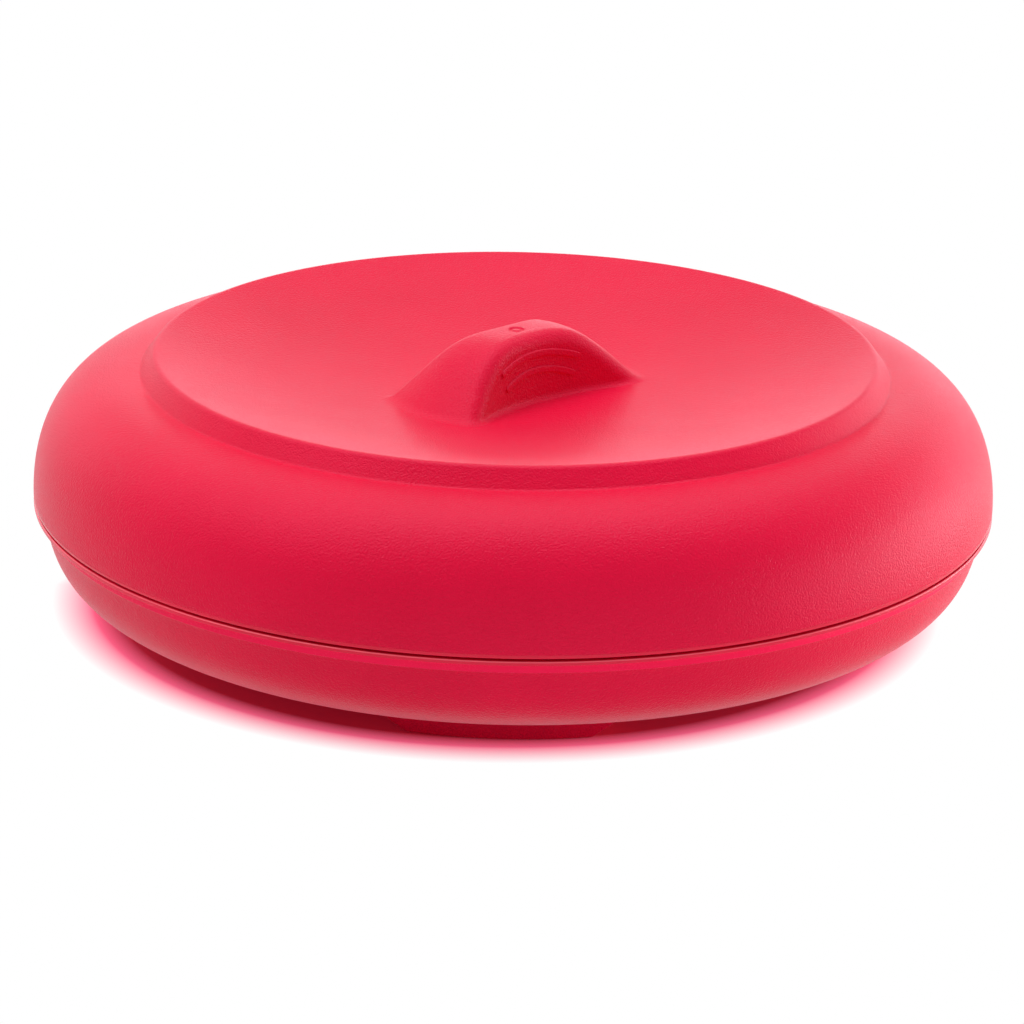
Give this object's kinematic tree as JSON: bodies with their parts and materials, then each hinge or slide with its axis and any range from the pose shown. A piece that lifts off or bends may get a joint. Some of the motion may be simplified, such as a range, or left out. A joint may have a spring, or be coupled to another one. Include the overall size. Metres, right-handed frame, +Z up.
{
  "type": "tortilla warmer",
  "caption": "Shallow round covered dish with insulated walls on low foot pads; domed lid with a dished top and a moulded pinch grip.",
  "frame": {"origin": "on the table plane, on the common axis of the base and the lid, under the middle of the bowl", "axes": "+Z up along the axis of the round dish; one foot pad points to -Y, and the grip's long axis is turned 44 degrees from +X towards +Y"},
  "size_m": [0.2492, 0.2492, 0.0786],
  "materials": {
    "red_shell": "satin moulded polypropylene with a fine spark-eroded grain",
    "red_liner": "smooth satin moulded polypropylene",
    "foam": "closed-cell moulded bead foam, hidden between the walls"
  },
  "bodies": {
    "base": {"base_outer_shell": "red_shell", "base_inner_liner": "red_liner", "base_insulation": "foam"},
    "lid": {"lid_outer_shell": "red_shell", "lid_inner_liner": "red_liner", "lid_insulation": "foam"}
  },
  "joints": [
    {"name": "lid_lift", "type": "slide", "parent": "base", "child": "lid", "axis": [0, 0, 1], "range_m": [0, 0.12]}
  ]
}
